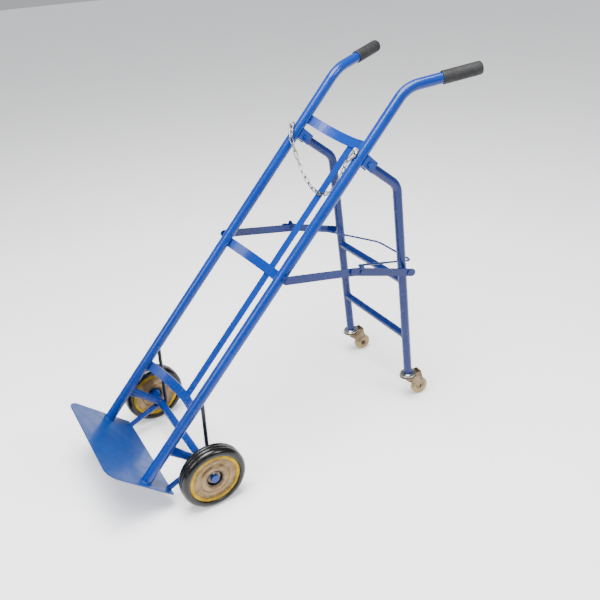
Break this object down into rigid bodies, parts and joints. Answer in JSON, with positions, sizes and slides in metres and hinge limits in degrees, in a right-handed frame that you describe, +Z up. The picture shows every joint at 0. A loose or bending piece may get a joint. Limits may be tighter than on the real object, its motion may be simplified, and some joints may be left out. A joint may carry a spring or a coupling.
{
  "type": "hand truck",
  "caption": "Two-wheel hand truck for a gas cylinder, with bowed cradle bars, toe plate, retaining chain and a fold-out rear leg frame on swivel castors.",
  "frame": {"origin": "centre of the bounding box, on the floor, with the truck leaning back on its two wheels and its two castors", "axes": "+X to the truck's right-hand side along the wheel axle, +Y from the toe plate towards the handles, +Z up"},
  "size_m": [0.5388, 1.241, 1.1205],
  "materials": {
    "blue_paint": "glossy enamel",
    "grip_rubber": "matt moulded",
    "tyre_rubber": "satin",
    "yellow_zinc": "yellow passivated zinc",
    "pressed_discs": "zinc plated pressing",
    "hub_steel": "dull steel",
    "castor_nylon": "smooth moulded",
    "zinc_plate": "bright zinc plate"
  },
  "bodies": {
    "frame": {"toe_plate": "blue_paint", "right_stile": "blue_paint", "left_stile": "blue_paint", "right_grip": "grip_rubber", "left_grip": "grip_rubber", "lower_cradle_bar": "blue_paint", "middle_cradle_bar": "blue_paint", "upper_cradle_bar": "blue_paint", "centre_strap": "blue_paint", "axle": "blue_paint", "right_axle_strut": "blue_paint", "left_axle_strut": "blue_paint", "right_plate_strut": "blue_paint", "left_plate_strut": "blue_paint", "right_brace_rod": "blue_paint", "left_brace_rod": "blue_paint", "right_leg_bracket": "blue_paint", "left_leg_bracket": "blue_paint", "hinge_bolts": "blue_paint", "hinge_nuts": "blue_paint", "stile_stay_bosses": "blue_paint", "stile_stay_bolts": "blue_paint", "axle_washers": "zinc_plate", "axle_collars": "blue_paint", "split_pins": "zinc_plate", "chain_eyes": "zinc_plate", "chain_hooks": "zinc_plate", "chain_links": "zinc_plate"},
    "right_wheel": {"right_tyre": "tyre_rubber", "right_rim": "yellow_zinc", "right_wheel_discs": "pressed_discs", "right_hub": "hub_steel"},
    "left_wheel": {"left_tyre": "tyre_rubber", "left_rim": "yellow_zinc", "left_wheel_discs": "pressed_discs", "left_hub": "hub_steel"},
    "leg_frame": {"right_leg": "blue_paint", "left_leg": "blue_paint", "lower_leg_crossbar": "blue_paint", "upper_leg_crossbar": "blue_paint", "leg_barrels": "blue_paint", "leg_stay_bosses": "blue_paint", "leg_stay_bolts": "blue_paint", "castor_stems": "zinc_plate", "castor_heads": "zinc_plate"},
    "right_front_link": {"right_front_stay": "blue_paint", "right_front_knee_rivet": "blue_paint"},
    "left_front_link": {"left_front_stay": "blue_paint", "left_front_knee_rivet": "blue_paint"},
    "rear_stays": {"right_rear_stay": "blue_paint", "left_rear_stay": "blue_paint", "release_bail": "blue_paint", "rear_knee_rivets": "blue_paint"},
    "right_castor_swivel": {"right_castor_fork": "zinc_plate", "right_castor_axle": "zinc_plate"},
    "right_castor_roller": {"right_castor_wheel": "castor_nylon"},
    "left_castor_swivel": {"left_castor_fork": "zinc_plate", "left_castor_axle": "zinc_plate"},
    "left_castor_roller": {"left_castor_wheel": "castor_nylon"}
  },
  "joints": [
    {"name": "right_wheel_spin", "type": "hinge", "parent": "frame", "child": "right_wheel", "pos_m": [0.2444, -0.3385, 0.1], "axis": [1, 0, 0], "continuous": true},
    {"name": "left_wheel_spin", "type": "hinge", "parent": "frame", "child": "left_wheel", "pos_m": [-0.2444, -0.3385, 0.1], "axis": [1, 0, 0], "continuous": true},
    {"name": "leg_fold", "type": "hinge", "parent": "frame", "child": "leg_frame", "pos_m": [0, 0.27301, 0.88295], "axis": [-1, 0, 0], "range_deg": [0, 28]},
    {"name": "right_front_stay_fold", "type": "hinge", "parent": "frame", "child": "right_front_link", "pos_m": [0.202, -0.02365, 0.61893], "axis": [1, 0, 0], "range_deg": [0, 25.21]},
    {"name": "left_front_stay_fold", "type": "hinge", "parent": "frame", "child": "left_front_link", "pos_m": [-0.202, -0.02365, 0.61893], "axis": [1, 0, 0], "range_deg": [0, 25.21]},
    {"name": "rear_stays_fold", "type": "hinge", "parent": "leg_frame", "child": "rear_stays", "pos_m": [0, 0.40137, 0.51384], "axis": [-1, 0, 0], "range_deg": [0, 46.9]},
    {"name": "right_castor_turn", "type": "hinge", "parent": "leg_frame", "child": "right_castor_swivel", "pos_m": [0.1735, 0.43219, 0.104], "axis": [0, -0.075, 0.9972], "continuous": true},
    {"name": "right_castor_roll", "type": "hinge", "parent": "right_castor_swivel", "child": "right_castor_roller", "pos_m": [0.1735, 0.48188, 0.03], "axis": [1, 0, 0], "continuous": true},
    {"name": "left_castor_turn", "type": "hinge", "parent": "leg_frame", "child": "left_castor_swivel", "pos_m": [-0.1735, 0.43219, 0.104], "axis": [0, -0.075, 0.9972], "continuous": true},
    {"name": "left_castor_roll", "type": "hinge", "parent": "left_castor_swivel", "child": "left_castor_roller", "pos_m": [-0.1735, 0.48188, 0.03], "axis": [1, 0, 0], "continuous": true}
  ],
  "couplings": [
    {"joint": "right_front_stay_fold", "follows": "leg_fold", "ratio": 0.90046},
    {"joint": "left_front_stay_fold", "follows": "leg_fold", "ratio": 0.90046},
    {"joint": "rear_stays_fold", "follows": "leg_fold", "ratio": 1.6751}
  ]
}
